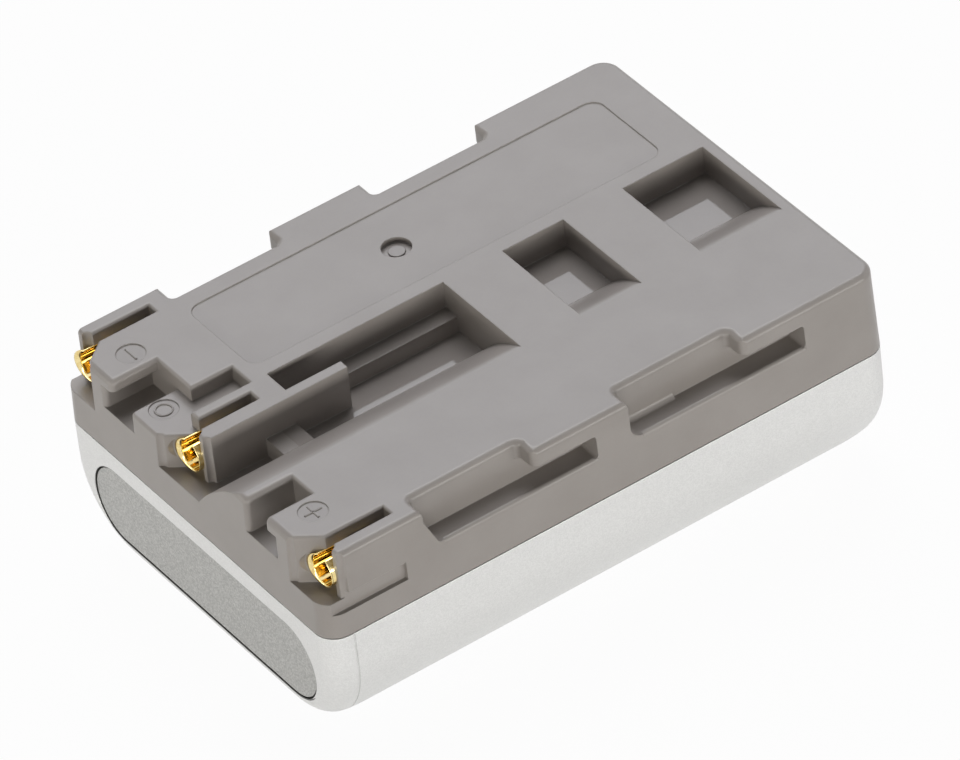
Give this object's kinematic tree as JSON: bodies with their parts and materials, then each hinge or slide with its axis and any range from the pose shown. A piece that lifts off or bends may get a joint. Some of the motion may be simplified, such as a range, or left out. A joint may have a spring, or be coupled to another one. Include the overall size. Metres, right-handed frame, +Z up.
{
  "type": "camera battery",
  "caption": "Slide-on lithium-ion camera battery: a silver case under a taupe cover with hook slots, locating pockets, a keyway and recessed gold contacts.",
  "frame": {"origin": "centre of the case's underside, the bottom centre of the bounding box", "axes": "+X along the pack away from the contact end, +Y across it, +Z up towards the contact cover"},
  "size_m": [0.0556, 0.0382, 0.0205],
  "materials": {
    "case_silver": "satin metallic paint",
    "cover_taupe": "smooth moulded, semi-gloss",
    "panel_grey": "fine metallic sparkle",
    "contact_gold": "bright gold plating",
    "cell_sleeve": "shrink sleeve",
    "insulation": "fibre card",
    "nickel": "bright strip",
    "board_green": "solder mask",
    "chip_black": "moulded",
    "tape_white": "soft foam"
  },
  "bodies": {
    "root": {"lower_case": "case_silver", "top_cover": "cover_taupe", "end_panel": "panel_grey", "contact_minus": "contact_gold", "contact_data": "contact_gold", "contact_plus": "contact_gold", "cell_a": "cell_sleeve", "cell_b": "cell_sleeve", "ring_a": "insulation", "ring_b": "insulation", "series_strip": "nickel", "far_card": "insulation", "positive_tab": "nickel", "negative_tab": "nickel", "near_card": "insulation", "circuit_board": "board_green", "protection_chip": "chip_black", "switch_chip": "chip_black", "thermistor": "chip_black", "tape_a": "tape_white", "tape_b": "tape_white"}
  },
  "joints": []
}
